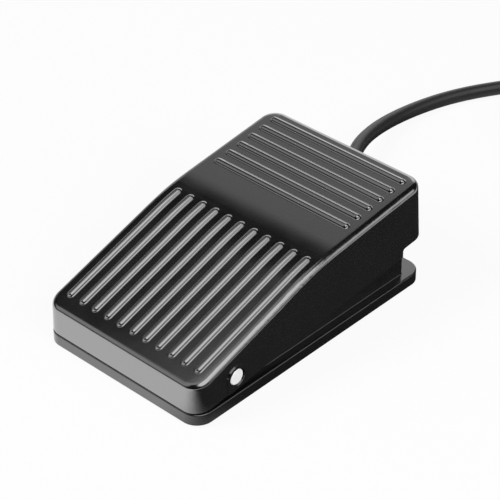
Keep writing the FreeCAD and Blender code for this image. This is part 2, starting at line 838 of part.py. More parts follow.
def pan_screw(length):
    # Head up, shank down from the origin
    head = Part.makeCylinder(screw_head_radius, screw_head_height)
    top = [e for e in head.Edges if e.BoundBox.ZMin > screw_head_height - near]
    head = head.makeChamfer(screw_edge, top)
    half = screw_slot / 2
    low = screw_head_height - screw_slot_depth
    high = screw_head_height + spare
    slot = box(-half, half, -screw_slot_reach, screw_slot_reach, low, high)
    cross = box(-screw_slot_reach, screw_slot_reach, -half, half, low, high)
    shank = Part.makeCylinder(screw_radius, length, vec(0, 0, -length))
    tip = [e for e in shank.Edges if e.BoundBox.ZMax < -length + near]
    shank = shank.makeChamfer(screw_tip, tip)
    return head.cut(slot).cut(cross).fuse(shank)


def make_switch_screws():
    screws = []
    for y in case_hole_places():
        screw = pan_screw(case_width + bracket_clearance + screw_engage)
        screw.rotate(vec(0, 0, 0), vec(0, 1, 0), -90)
        screw.translate(vec(-case_half - rest_gap, y, case_z + case_hole_low))
        screws.append(screw)
    return Part.makeCompound(screws)


def make_clamp():
    y = clamp_y
    low = cable_z + clamp_gap + rest_gap
    plate = box(cable_x - clamp_half_width, cable_x + clamp_half_width, y - clamp_length / 2,
                y + clamp_length / 2, low, low + clamp_thickness)
    ends = [e for e in plate.Edges if e.BoundBox.ZLength > clamp_thickness / 2]
    plate = plate.makeFillet(clamp_corner, ends)
    arch = rod((cable_x, y - clamp_length / 2, cable_z), (0, 1, 0), cable_radius + clamp_arch_wall,
               clamp_length)
    arch = arch.common(box(-far, far, -far, far, low, far))
    plate = plate.fuse(arch)
    plate = plate.cut(rod((cable_x, y - far, cable_z), (0, 1, 0), cable_radius + saddle_clearance, 2 * far))
    for side in (-1, 1):
        plate = plate.cut(rod((cable_x + side * clamp_screw_offset, y, 0), (0, 0, 1),
                              screw_radius + screw_hole_clearance, far))
    return plate


def make_clamp_screws():
    screws = []
    for side in (-1, 1):
        screw = pan_screw(clamp_thickness + clamp_screw_engage)
        screw.translate(vec(cable_x + side * clamp_screw_offset, clamp_y,
                            cable_z + clamp_gap + clamp_thickness + 2 * rest_gap))
        screws.append(screw)
    return Part.makeCompound(screws)


wall_back_y = base_back - upstand_rear


def make_boot():
    # Turned about the cable: inner flange, neck in the wall, outer shoulder and the tapered sleeve
    inner_y = wall_back_y - upstand_wall - boot_clearance - boot_shoulder
    tip_y = wall_back_y + boot_reach
    bore = cable_radius + boot_bore_clearance
    seat_in = wall_back_y - upstand_wall - boot_clearance
    seat_out = wall_back_y + boot_clearance
    shoulder_end = seat_out + boot_shoulder
    outline = [(inner_y, bore), (inner_y, boot_shoulder_radius), (seat_in, boot_shoulder_radius),
               (seat_in, boot_neck_radius), (seat_out, boot_neck_radius), (seat_out, boot_shoulder_radius),
               (shoulder_end, boot_shoulder_radius), (shoulder_end, boot_root_radius),
               (tip_y, boot_tip_radius), (tip_y, bore)]
    face = Part.Face(Part.makePolygon([vec(r, y, 0) for y, r in outline + outline[:1]]))
    boot = face.revolve(vec(0, 0, 0), vec(0, 1, 0), 360)
    boot.translate(vec(cable_x, 0, cable_z))
    # Relief rings that let the sleeve flex
    step = (tip_y - shoulder_end - 2 * boot_ring_margin) / boot_rings
    for i in range(boot_rings):
        y = shoulder_end + boot_ring_margin + i * step
        outer = rod((cable_x, y, cable_z), (0, 1, 0), boot_shoulder_radius, boot_ring_gap)
        inner = rod((cable_x, y - boot_ring_gap, cable_z), (0, 1, 0), boot_tip_radius, 3 * boot_ring_gap)
        boot = boot.cut(outer.cut(inner))
    return boot


# A closed section of flat sides, upright across the part
def flat_section(centre, radius):
    corners = []
    for i in range(section_sides + 1):
        turn = 2 * math.pi * i / section_sides
        corners.append(centre + vec(radius * math.cos(turn), 0, radius * math.sin(turn)))
    return Part.makePolygon(corners)


def round_section(centre, direction, radius):
    return Part.Wire([Part.Circle(centre, direction, radius).toShape()])


# Straight runs and tangent arcs for a section to be carried along
def open_path(points, radii):
    return Part.Wire(rounded_edges(points, radii, False))


def sweep(path, section):
    return path.makePipeShell([section], True, False)


def arc_radii(points):
    radii = [0.0]
    for i in range(1, len(points) - 1):
        back = points[i] - points[i - 1]
        ahead = points[i + 1] - points[i]
        turn = back.getAngle(ahead)
        radii.append(bend_share * min(back.Length, ahead.Length) / math.tan(turn / 2))
    return radii + [0.0]


def make_cable():
    points = route_points
    radii = arc_radii(points)
    path = open_path(points, radii)
    tube = sweep(path, round_section(points[0], points[1] - points[0], cable_radius))
    expected = round(path.Length * math.pi * cable_radius ** 2, 1)
    print("cable tube length", round(path.Length, 2), "volume", round(tube.Volume, 1), "expected", expected)
    print("cable radii", [round(r, 1) for r in radii[1:-1]])
    return tube


def make_inner_cable():
    return rod((cable_x, sheath_y, cable_z), (0, 1, 0), cable_radius, base_back - sheath_y)


# The coil's outermost turn takes up the lead's last run without a bend
coil_half_width = coil_columns * cable_radius
coil_outer_turn = coil_middle_radius + (coil_columns - 1) * cable_radius
route_points = [vec(x, base_back + beyond, z) for x, beyond, z in cable_route]
route_end = route_points[-1]
route_heading = (route_end - route_points[-2]).normalize()
coil_centre = (route_end.x + coil_outer_turn * route_heading.y,
               route_end.y - coil_outer_turn * route_heading.x)
coil_height = 2 * cable_radius + (coil_layers - 1) * coil_layer_pitch


def make_coil():
    outer = coil_middle_radius + coil_half_width
    inner = coil_middle_radius - coil_half_width
    ring = Part.makeCylinder(outer, coil_height).cut(Part.makeCylinder(inner, coil_height))
    rims = [e for e in ring.Edges if isinstance(e.Curve, Part.Circle)]
    ring = ring.makeChamfer(coil_edge, rims)
    ring.translate(vec(coil_centre[0], coil_centre[1], 0))
    return ring


def make_tie():
    # Flat tie round the bundle, with its head on the outside
    room = coil_half_width + tie_clearance
    half = room + tie_thickness
    outer = box(coil_middle_radius - half, coil_middle_radius + half, -tie_width / 2, tie_width / 2,
                0, coil_height + tie_clearance + tie_thickness)
    inner = box(coil_middle_radius - room, coil_middle_radius + room, -tie_width, tie_width, -spare,
                coil_height + tie_clearance)
    tie = outer.cut(inner)
    head_in = coil_middle_radius + half
    head = box(head_in, head_in + tie_head_reach, -tie_head_half_width, tie_head_half_width,
               coil_height / 2 - tie_head_half_height, coil_height / 2 + tie_head_half_height)
    tie = tie.fuse(head)
    tie.rotate(vec(0, 0, 0), vec(0, 0, 1), tie_angle)
    tie.translate(vec(coil_centre[0], coil_centre[1], 0))
    return tie


def make_inner_cores():
    targets = [com_y, no_y, nc_y]
    for name, angle, lane, target in zip(core_names, core_places, core_lanes, targets):
        x = cable_x + core_ring * math.cos(math.radians(angle))
        z = cable_z + core_ring * math.sin(math.radians(angle))
        lane_z = base_bottom + core_lane_height
        turn_y = sheath_y - core_straight
        points = [vec(x, sheath_y, z), vec(x, turn_y, z), vec(lane, turn_y - core_slope, lane_z),
                  vec(lane, target, lane_z), vec(-terminal_thickness / 2, target, lane_z)]
        bends = [0, core_bend, core_bend, core_bend, 0]
        save(sweep(open_path(points, bends), flat_section(points[0], core_radius)), "core_" + name)


# The end of the lead lies on top of the coil, and its three stripped cores stand out of it
def make_far_end():
    angle = math.radians(cable_end_angle)
    along = vec(math.sin(angle), -math.cos(angle), 0)
    outward = vec(math.cos(angle), math.sin(angle), 0)
    across = vec(0, 0, 1).cross(along)
    chord = coil_middle_radius - cable_end_inset
    middle = vec(coil_centre[0], coil_centre[1], coil_height + cable_radius + rest_gap) + outward * chord
    start = middle - along * ((cable_end_length + lead_length) / 2)
    save(rod(start, along, cable_radius, cable_end_length), "cable_end")
    mouth = start + along * (cable_end_length + lead_gap)
    for name, place, spread in zip(core_names, core_places, lead_angles):
        turn = math.radians(spread)
        direction = along * math.cos(turn) + across * math.sin(turn)
        root = mouth + across * (core_ring * math.cos(math.radians(place)))
        root = root + vec(0, 0, core_ring * math.sin(math.radians(place)))
        covered = lead_length - lead_bare
        save(rod(root, direction, core_radius, covered), "far_core_" + name)
        save(rod(root + direction * covered, direction, lead_bare_radius, lead_bare), "far_strand_" + name)


save(make_base(), "base_tray")
save(make_pedal(), "pedal")
save(make_pin(), "hinge_pin")
save(make_spring(), "return_spring")
make_feet()
save(make_case(), "switch_case")
save(make_cover(), "switch_cover")
save(make_plunger(), "switch_plunger")
save(make_lever(), "switch_lever")
save(make_lever_pin(), "lever_pin")
save(make_blade(), "snap_blade")
save(make_moving_contact(), "moving_contact")
make_terminals()
save(make_switch_screws(), "switch_screws")
save(make_clamp(), "cable_clamp")
save(make_clamp_screws(), "clamp_screws")
save(make_boot(), "cable_boot")
save(make_inner_cable(), "cable_inner")
save(make_cable(), "cable_tube")
save(make_coil(), "cable_coil")
save(make_tie(), "coil_tie")
make_inner_cores()
make_far_end()
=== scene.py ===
import math

import bmesh
import bpy
from mathutils import Matrix, Vector


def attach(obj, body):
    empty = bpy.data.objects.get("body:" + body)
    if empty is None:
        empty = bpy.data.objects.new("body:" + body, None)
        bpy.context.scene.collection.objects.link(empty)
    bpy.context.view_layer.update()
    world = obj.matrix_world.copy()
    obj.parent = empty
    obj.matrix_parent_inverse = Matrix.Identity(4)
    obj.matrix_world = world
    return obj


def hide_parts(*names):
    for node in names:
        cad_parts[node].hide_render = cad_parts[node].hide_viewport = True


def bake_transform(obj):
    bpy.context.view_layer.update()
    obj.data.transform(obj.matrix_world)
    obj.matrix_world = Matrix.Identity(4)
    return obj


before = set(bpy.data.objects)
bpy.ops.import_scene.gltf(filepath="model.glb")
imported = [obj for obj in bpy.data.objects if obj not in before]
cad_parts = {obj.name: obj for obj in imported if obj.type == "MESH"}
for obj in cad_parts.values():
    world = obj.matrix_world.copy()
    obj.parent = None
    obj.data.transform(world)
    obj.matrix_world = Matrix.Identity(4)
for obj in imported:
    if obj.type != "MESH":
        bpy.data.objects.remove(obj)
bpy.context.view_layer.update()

# Foot switch: black enamelled pedal over a tray, seen from the toe end and the right.
# Metres, X to the right, Y from the toe end to the lead, Z up, floor at z = 0.

mm = 0.001

# how near is near, in mm: for a cut, for picking by place and for merging doubles
cutGap = 0.0001
pickGap = 0.001
mergeGap = 0.002


# general help
def pick(piece):
    bpy.ops.object.select_all(action="DESELECT")
    piece.select_set(True)
    bpy.context.view_layer.objects.active = piece


def startEdit(piece, mode="VERT"):
    pick(piece)
    bpy.ops.object.mode_set(mode="EDIT")
    bpy.ops.mesh.select_mode(type=mode)


def endEdit():
    bpy.ops.object.mode_set(mode="OBJECT")


def choose(piece, kind, test):
    # selects the vertices, edges or faces that pass the test, by their place
    bpy.ops.mesh.select_all(action="DESELECT")
    mesh = bmesh.from_edit_mesh(piece.data)
    for part in getattr(mesh, kind):
        if test(part):
            part.select_set(True)
    mesh.select_flush_mode()
    bmesh.update_edit_mesh(piece.data)


def applyModifier(piece, kind, **settings):
    pick(piece)
    modifier = piece.modifiers.new(kind.title(), kind)
    for name, value in settings.items():
        setattr(modifier, name, value)
    bpy.ops.object.modifier_apply(modifier=modifier.name)


def smooth(piece, angle=35):
    # round shading that stays flat on the large flats
    pick(piece)
    bpy.ops.object.shade_smooth_by_angle(angle=math.radians(angle))
    applyModifier(piece, "WEIGHTED_NORMAL", keep_sharp=True, weight=80)


def copyPiece(model, name):
    # a copy with its own mesh
    piece = bpy.data.objects.new(name, model.data.copy())
    bpy.context.scene.collection.objects.link(piece)
    return piece


def copyNode(node, name):
    # a merged copy of a CAD node, ready to be worked on
    piece = copyPiece(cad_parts[node], name)
    pick(piece)
    bpy.ops.mesh.customdata_custom_splitnormals_clear()
    startEdit(piece)
    bpy.ops.mesh.select_all(action="SELECT")
    bpy.ops.mesh.remove_doubles(threshold=mergeGap * mm)
    endEdit()
    return piece


def dress(piece, body, slotName, material, *nodes):
    piece.data.materials.clear()
    piece.data.materials.append(material)
    if body:
        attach(piece, body)
    if nodes:
        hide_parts(*nodes)
    return piece


# materials
def linear(hexColour):
    values = [int(hexColour[i:i + 2], 16) / 255 for i in (1, 3, 5)]
    return [v / 12.92 if v <= 0.04045 else ((v + 0.055) / 1.055) ** 2.4 for v in values] + [1.0]


def addNode(tree, kind, settings=None, links=None, **fields):
    # one node with its fields, socket values and incoming links
    node = tree.nodes.new("ShaderNode" + kind)
    for name, value in fields.items():
        setattr(node, name, value)
    for name, value in (settings or {}).items():
        node.inputs[name].default_value = value
    for name, source in (links or {}).items():
        tree.links.new(source, node.inputs[name])
    return node


def newMaterial(name):
    material = bpy.data.materials.new(name)
    material.use_nodes = True
    tree = material.node_tree
    shader = tree.nodes["Principled BSDF"]
    place = addNode(tree, "TexCoord").outputs["Object"]
    return material, tree, shader, place


enamelSettings = {
    "cloudSize": 9,                  # times the orange peel
    "cloudEdges": (0.35, 0.65),
    "roughSpread": (-0.03, 0.04),
    "bumpStrength": 0.5,
    "grainShare": 0.4,               # of the orange peel's depth
    "coatRough": 0.14,
    "coatGloss": 1.6,
}
metalSettings = {"roughSpread": (-0.05, 0.08), "bumpStrength": 0.3, "lineDepth": 0.01}
mouldSettings = {"cloudSize": 6, "roughSpread": (-0.04, 0.04), "bumpStrength": 0.4}


def paintedFinish(name, dark, light, rough, gloss, grain, orangePeel, bumpDepth, coat):
    # enamel over a casting: near black, a soft gloss, a faint orange peel and a fine grain
    s = enamelSettings
    material, tree, shader, place = newMaterial(name)
    cloud = addNode(tree, "TexNoise", {"Scale": 1 / (orangePeel * s["cloudSize"] * mm), "Detail": 3.0},
                    {"Vector": place})
    colour = addNode(tree, "ValToRGB", None, {"Fac": cloud.outputs["Fac"]})
    colour.color_ramp.elements[0].position = s["cloudEdges"][0]
    colour.color_ramp.elements[0].color = linear(dark)
    colour.color_ramp.elements[1].position = s["cloudEdges"][1]
    colour.color_ramp.elements[1].color = linear(light)
    tree.links.new(colour.outputs["Color"], shader.inputs["Base Color"])
    fine = addNode(tree, "TexNoise", {"Scale": 1 / (grain * mm), "Detail": 2.0}, {"Vector": place})
    peel = addNode(tree, "TexNoise", {"Scale": 1 / (orangePeel * mm), "Detail": 1.0}, {"Vector": place})
    smoothest, roughest = (rough + change for change in s["roughSpread"])
    spread = addNode(tree, "MapRange", {"To Min": smoothest, "To Max": roughest},
                     {"Value": cloud.outputs["Fac"]})
    tree.links.new(spread.outputs["Result"], shader.inputs["Roughness"])
    low = addNode(tree, "Bump", {"Strength": s["bumpStrength"], "Distance": bumpDepth * mm},
                  {"Height": peel.outputs["Fac"]})
    high = addNode(tree, "Bump", {"Strength": s["bumpStrength"], "Distance": bumpDepth * s["grainShare"] * mm},
                   {"Height": fine.outputs["Fac"], "Normal": low.outputs["Normal"]})
    tree.links.new(high.outputs["Normal"], shader.inputs["Normal"])
    shader.inputs["Specular IOR Level"].default_value = 1.0
    shader.inputs["IOR"].default_value = gloss
    shader.inputs["Coat Weight"].default_value = coat
    shader.inputs["Coat Roughness"].default_value = s["coatRough"]
    shader.inputs["Coat IOR"].default_value = s["coatGloss"]
    return material


def metalFinish(name, colour, rough, brushAcross, brushSpacing, metallic=1.0):
    # drawn or ground metal: fine lines across one axis move its roughness
    s = metalSettings
    material, tree, shader, place = newMaterial(name)
    stretch = addNode(tree, "Mapping", {"Scale": brushAcross}, {"Vector": place})
    lines = addNode(tree, "TexNoise", {"Scale": 1 / (brushSpacing * mm), "Detail": 2.0},
                    {"Vector": stretch.outputs["Vector"]})
    shader.inputs["Base Color"].default_value = linear(colour)
    shader.inputs["Metallic"].default_value = metallic
    smoothest, roughest = (rough + change for change in s["roughSpread"])
    spread = addNode(tree, "MapRange", {"To Min": smoothest, "To Max": roughest},
                     {"Value": lines.outputs["Fac"]})
    tree.links.new(spread.outputs["Result"], shader.inputs["Roughness"])
    bump = addNode(tree, "Bump", {"Strength": s["bumpStrength"], "Distance": s["lineDepth"] * mm},
                   {"Height": lines.outputs["Fac"]})
    tree.links.new(bump.outputs["Normal"], shader.inputs["Normal"])
    return material


def mouldedFinish(name, dark, light, rough, grain, depth, sheen=0.0):
    # moulded plastic or rubber: a fine spark grain and a little cloud in its colour
    s = mouldSettings
    material, tree, shader, place = newMaterial(name)
    cloud = addNode(tree, "TexNoise", {"Scale": 1 / (s["cloudSize"] * mm), "Detail": 3.0}, {"Vector": place})
    colour = addNode(tree, "ValToRGB", None, {"Fac": cloud.outputs["Fac"]})
    colour.color_ramp.elements[0].color = linear(dark)
    colour.color_ramp.elements[1].color = linear(light)
    tree.links.new(colour.outputs["Color"], shader.inputs["Base Color"])
    spark = addNode(tree, "TexNoise", {"Scale": 1 / (grain * mm), "Detail": 2.0}, {"Vector": place})
    smoothest, roughest = (rough + change for change in s["roughSpread"])
    spread = addNode(tree, "MapRange", {"To Min": smoothest, "To Max": roughest},
                     {"Value": spark.outputs["Fac"]})
    tree.links.new(spread.outputs["Result"], shader.inputs["Roughness"])
    bump = addNode(tree, "Bump", {"Strength": s["bumpStrength"], "Distance": depth * mm},
                   {"Height": spark.outputs["Fac"]})
    tree.links.new(bump.outputs["Normal"], shader.inputs["Normal"])
    shader.inputs["Sheen Weight"].default_value = sheen
    return material


# die castings in stoved black enamel: near black, clear reflections, a faint orange peel
blackEnamel = paintedFinish("blackEnamel", "#0b0b0c", "#0f0f10", 0.14, 2.2, 0.25, 0.9, 0.005, 0.5)
# painted shade: the same enamel with a lower IOR and a thinner coat, so that the tray band reflects less,
# standing in for the shade it sits in by the floor
shadedTrayEnamel = paintedFinish("shadedTrayEnamel", "#0c0c0d", "#101011", 0.24, 1.62, 0.25, 0.9, 0.008, 0.3)
# plated pins with a satin ground end, which shows white where it faces the light
groundSteel = metalFinish("groundSteel", "#f2f2f3", 0.3, (0.05, 1.0, 1.0), 0.12, 0.2)
# drawn spring wire: bright, with faint lines along it
springWire = metalFinish("springWire", "#b9bcc0", 0.3, (1.0, 1.0, 0.4), 0.2)
# stamped stainless lever: satin, lined along its length
stampedSteel = metalFinish("stampedSteel", "#c4c5c7", 0.34, (1.0, 0.1, 1.0), 0.1)
# rolled phosphor bronze: warm and satin
springBronze = metalFinish("springBronze", "#c98d52", 0.3, (1.0, 0.1, 1.0), 0.1)
# silver contacts: pale, with a small sharp glint
silverRivet = metalFinish("silverRivet", "#dcdcda", 0.25, (1.0, 1.0, 1.0), 0.2)
# rolled brass terminals: yellow and satin
rolledBrass = metalFinish("rolledBrass", "#c9a95e", 0.32, (1.0, 1.0, 0.1), 0.12)
# zinc plated screws and clamp: pale grey, a broken gloss
zincScrew = metalFinish("zincScrew", "#c7cacb", 0.35, (1.0, 1.0, 1.0), 0.25)
# stripped copper wires: orange glints along the twist
bareCopper = metalFinish("bareCopper", "#c8794f", 0.3, (1.0, 1.0, 1.0), 0.2)
# moulded phenolic case: dull black with a slight mould grain
blackPhenolic = mouldedFinish("blackPhenolic", "#191a1b", "#202122", 0.5, 0.3, 0.01)
# moulded nylon plunger: plain red, half gloss
redNylon = mouldedFinish("redNylon", "#a32019", "#b3261d", 0.42, 0.4, 0.006)
# moulded rubber feet and boot: matt, a little lighter at a low angle
footRubber = mouldedFinish("footRubber", "#1b1b1b", "#232323", 0.7, 0.35, 0.02, 0.1)
bootRubber = mouldedFinish("bootRubber", "#1a1a1b", "#222223", 0.55, 0.35, 0.012, 0.05)
# extruded PVC sheath and cores: smooth, half gloss
cableSheath = mouldedFinish("cableSheath", "#1e1e1f", "#252526", 0.4, 0.45, 0.008)
coreWhite = mouldedFinish("coreWhite", "#dedcd6", "#e8e6e0", 0.4, 0.5, 0.005)
coreRed = mouldedFinish("coreRed", "#a81f1c", "#bb2621", 0.4, 0.5, 0.005)
coreBlack = mouldedFinish("coreBlack", "#1a1a1b", "#222223", 0.4, 0.5, 0.005)
# nylon tie: milky white, half gloss
whiteNylon = mouldedFinish("whiteNylon", "#d9d7cf", "#e4e2da", 0.42, 0.5, 0.006)
print("materials made", len(bpy.data.materials))


# camera
cameraSettings = {
    "place": (350.075, -365.105, 383.656),
    "right": (0.72934, 0.68412, -0.00635),
    "up": (-0.39456, 0.42818, 0.81301),
    "ahead": (-0.55892, 0.59046, -0.58221),
    "lens": 152.97,
    "sensor": 36.0,
    "shift": (0.0013, 0.00044),
}


def makeCamera():
    data = bpy.data.cameras.new("viewCamera")
    camera = bpy.data.objects.new("viewCamera", data)
    bpy.context.scene.collection.objects.link(camera)
    right, up, ahead = (Vector(cameraSettings[k]) for k in ("right", "up", "ahead"))
    turn = Matrix((right, up, -ahead)).transposed().to_4x4()
    camera.matrix_world = Matrix.Translation(Vector(cameraSettings["place"]) * mm) @ turn
    data.lens = cameraSettings["lens"]
    data.sensor_width = cameraSettings["sensor"]
    data.shift_x, data.shift_y = cameraSettings["shift"]
    bpy.context.scene.camera = camera


makeCamera()
print("camera placed")


# lead
leadSettings = {
    "diameter": 4.8,
    "route": [(-14, 48.65, 8.0), (-14, 66.4, 8.0), (-24.8, 81.0, 7.2), (-30.4, 97.5, 4.9),
              (-31.6, 116.5, 2.6), (-27.2, 134.0, 2.4), (-18.5, 150.5, 2.4), (-7.6, 165.0, 2.4),
              (3.8, 177.2, 2.4)],
    "coilCentre": (26.67, 155.82),
    "pointsPerTurn": 24,
    # angle in degrees, radius and height where the winding starts or ends a change
    "winding": [(136.9, 31.3, 2.4), (-20.0, 31.3, 2.4), (-170.0, 26.5, 2.4), (-380.0, 26.5, 2.4),
                (-530.0, 21.7, 2.4), (-560.0, 21.7, 2.4), (-735.0, 24.1, 7.0), (-880.0, 24.1, 7.0),
                (-1030.0, 28.9, 7.0), (-1240.0, 28.9, 7.0), (-1310.0, 28.9, 11.62), (-1325.0, 28.9, 11.62)],
    "end": [(21.49, 184.99, 11.62), (27.27, 185.24, 11.62), (32.93, 183.98, 11.62), (38.07, 181.31, 11.62),
            (41.39, 179.33, 11.62), (44.39, 174.13, 11.62)],
}


def coilPoints():
    # control points round the coil, moving gently from one turn to the next
    s = leadSettings
    points = []
    stride = 360.0 / s["pointsPerTurn"]
    grow = 1 / math.cos(math.radians(stride / 2))   # the spline runs inside its control points
    angle = s["winding"][0][0] - stride
    for before, after in zip(s["winding"], s["winding"][1:]):
        while angle >= after[0]:
            share = (before[0] - angle) / (before[0] - after[0])
            share = share * share * (3 - 2 * share)
            radius, height = (a + (b - a) * share for a, b in zip(before[1:], after[1:]))
            turn = math.radians(angle)
            points.append((s["coilCentre"][0] + radius * grow * math.cos(turn),
                           s["coilCentre"][1] + radius * grow * math.sin(turn), height))
            angle -= stride
    return points


def makeLead():
    s = leadSettings
    points = s["route"] + coilPoints() + s["end"]
    curve = bpy.data.curves.new("lead", "CURVE")
    curve.dimensions = "3D"
    spline = curve.splines.new("NURBS")
    spline.points.add(len(points) - 1)
    for target, point in zip(spline.points, points):
        target.co = [c * mm for c in point] + [1.0]
    spline.order_u = 3
    spline.use_endpoint_u = True
    curve.resolution_u = 6
    curve.bevel_depth = s["diameter"] / 2 * mm
    curve.bevel_resolution = 5
    curve.use_fill_caps = True
    lead = bpy.data.objects.new("lead", curve)
    bpy.context.scene.collection.objects.link(lead)
    curve.materials.append(cableSheath)
    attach(lead, "base")
    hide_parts("cable_tube", "cable_coil", "cable_end")
    return lead


lead = makeLead()
print("lead laid")


# pedal
pedalSettings = {
    "front": -49.35,
    "length": 98.7,
    "floor": 1.0,
    "frontHeight": 13.1,
    "bendAlong": 50.4,
    "bendHeight": 29.6,
    "rearHeight": 35.5,
    "bendRadius": 30.0,
    "softBend": 100.0,       # the enamelled bend as the eye sees it, eased inside the CAD's thickness
    "softReach": 9.55,       # from the bend line to the first and last cut for it
    "softCuts": 16,
    "edgeRound": 2.0,
    "toeBeads": 11,
    "toePitch": 5.147,
    "toeStart": 6.2,
    "heelBeads": 6,
    "heelPitch": 5.0,
    "heelFromBack": 6.1,
    "heelReach": 25.3,
    "beadRadius": 1.1,
    "beadHeight": 0.97,
    "rootRadius": 0.5,
    "skirt": 0.35,
    "skirtDrop": 0.02,
    "beadShow": 0.02,        # a CAD face this far over the roof belongs to a bead
    "bendCuts": 13,          # cuts in a toe bead, back from the bend line
    "bendCutPitch": 0.8,
    "crownSides": 32,
    "rootSteps": 4,
    "endSteps": 10,
    "endRing": 0.25,
}


bendLine = pedalSettings["front"] + pedalSettings["bendAlong"]


def roofRises():
    # how much the toe slope and the heel slope rise per mm
    s = pedalSettings
    toe = (s["bendHeight"] - s["frontHeight"]) / s["bendAlong"]
    heel = (s["rearHeight"] - s["bendHeight"]) / (s["length"] - s["bendAlong"])
    return toe, heel


def roofLine(y):
    # the roof with a sharp bend
    s = pedalSettings
    toe, heel = roofRises()
    slope = toe if y < bendLine else heel
    return s["floor"] + s["bendHeight"] + slope * (y - bendLine)


def roofHeight(y, radius):
    # the roof with its bend rounded
    toe, heel = (math.atan(rise) for rise in roofRises())
    reach = radius * math.tan((toe - heel) / 2)
    first = bendLine - reach * math.cos(toe)
    last = bendLine + reach * math.cos(heel)
    if y <= first or y >= last:
        return roofLine(y)
    centreY = first + radius * math.sin(toe)
    centreZ = roofLine(first) - radius * math.cos(toe)
    return centreZ + math.sqrt(radius ** 2 - (y - centreY) ** 2)


def makeBead(name, length, cuts):
    # crown cut from a circle, both root rounds spun from its ends, then drawn out and closed by half turns
    s = pedalSettings
    radius = s["beadRadius"] * mm
    drop = (s["beadRadius"] - s["beadHeight"]) * mm
    root = s["rootRadius"] * mm
    rootX = math.sqrt((radius + root) ** 2 - (root + drop) ** 2)
    crownEnd = -drop + (root + drop) * radius / (radius + root)
    sweep = math.atan2(rootX, root + drop)
    bpy.ops.object.select_all(action="DESELECT")
    bpy.ops.mesh.primitive_circle_add(vertices=s["crownSides"], radius=radius, location=(0, 0, -drop),
                                      rotation=(math.pi / 2, 0, 0))
    bead = bpy.context.object
    bead.name = name
    bpy.ops.object.transform_apply(location=True, rotation=True, scale=True)
    startEdit(bead)
    bpy.ops.mesh.select_all(action="SELECT")
    bpy.ops.mesh.bisect(plane_co=(0, 0, crownEnd), plane_no=(0, 0, 1), clear_inner=True,
                        threshold=cutGap * mm)
    for side in (-1, 1):
        choose(bead, "verts", lambda v: v.co.x * side > 0 and abs(v.co.z - crownEnd) < pickGap * mm)
        bpy.ops.mesh.spin(steps=s["rootSteps"], angle=side * sweep, center=(side * rootX, 0, root),
                          axis=(0, 1, 0))
        choose(bead, "verts", lambda v: v.co.x * side > rootX - pickGap * mm)
        bpy.ops.mesh.extrude_region_move(
            TRANSFORM_OT_translate={"value": (side * s["skirt"] * mm, 0, -s["skirtDrop"] * mm)})
    step = 0.0
    for along in [s["endRing"]] + cuts + [length - s["endRing"], length]:
        choose(bead, "verts", lambda v: abs(v.co.y - step * mm) < pickGap * mm)
        bpy.ops.mesh.extrude_region_move(TRANSFORM_OT_translate={"value": (0, (along - step) * mm, 0)})
        step = along
    for y, way in ((0.0, 1), (length * mm, -1)):
        choose(bead, "verts", lambda v: abs(v.co.y - y) < pickGap * mm and v.co.x > -pickGap * mm)
        bpy.ops.mesh.spin(steps=s["endSteps"], angle=way * math.pi, center=(0, y, 0), axis=(0, 0, 1))
    bpy.ops.mesh.select_all(action="SELECT")
    bpy.ops.mesh.remove_doubles(threshold=mergeGap * mm)
    bpy.ops.mesh.normals_make_consistent(inside=False)
    endEdit()
    return bead


def layBead(bead, start, turn, tilt):
    # a copy of the bead, laid on the slope of the roof, its ends let down to the rounded bend
    copy = copyPiece(bead, bead.name)
    place = Matrix.Translation(Vector(start) * mm)
    copy.data.transform(place @ Matrix.Rotation(tilt, 4, "X") @ Matrix.Rotation(turn, 4, "Z"))
    for vertex in copy.data.vertices:
        y = vertex.co.y / mm
        slope = start[2] + math.tan(tilt) * (y - start[1])
        vertex.co.z += (roofHeight(y, pedalSettings["softBend"]) - slope) * mm
    return copy


def makeBeads():
    s = pedalSettings
    toe, heel = (math.atan(rise) for rise in roofRises())
    toeLength = (s["bendAlong"] - s["toeStart"]) / math.cos(toe)
    cuts = [toeLength - s["bendCutPitch"] * i for i in range(s["bendCuts"], 0, -1)]
    model = makeBead("toeBead", toeLength, cuts)
    laid = []
    for i in range(s["toeBeads"]):
        x = (i - (s["toeBeads"] - 1) / 2) * s["toePitch"]
        y = s["front"] + s["toeStart"]
        laid.append(layBead(model, (x, y, roofLine(y)), 0.0, toe))
    bpy.data.objects.remove(model)
    model = makeBead("heelBead", 2 * s["heelReach"], [])
    for i in range(s["heelBeads"]):
        y = s["front"] + s["length"] - s["heelFromBack"] - i * s["heelPitch"]
        laid.append(layBead(model, (s["heelReach"], y, roofLine(y)), math.pi / 2, heel))
    bpy.data.objects.remove(model)
    return laid


def easeBend(pedal):
    # cuts across the roof, let down from the CAD's bend to the softer one, the edge rounds with them
    s = pedalSettings
    startEdit(pedal, "EDGE")
    for i in range(s["softCuts"] + 1):
        y = bendLine - s["softReach"] + 2 * s["softReach"] * i / s["softCuts"]
        bpy.ops.mesh.select_all(action="SELECT")
        bpy.ops.mesh.bisect(plane_co=(0, y * mm, 0), plane_no=(0, 1, 0), threshold=cutGap * mm)
    endEdit()
    for vertex in pedal.data.vertices:
        y = vertex.co.y / mm
        depth = roofHeight(y, s["bendRadius"]) - vertex.co.z / mm
        share = 1 - min(max(depth / s["edgeRound"], 0.0), 1.0)
        vertex.co.z -= share * (roofHeight(y, s["bendRadius"]) - roofHeight(y, s["softBend"])) * mm


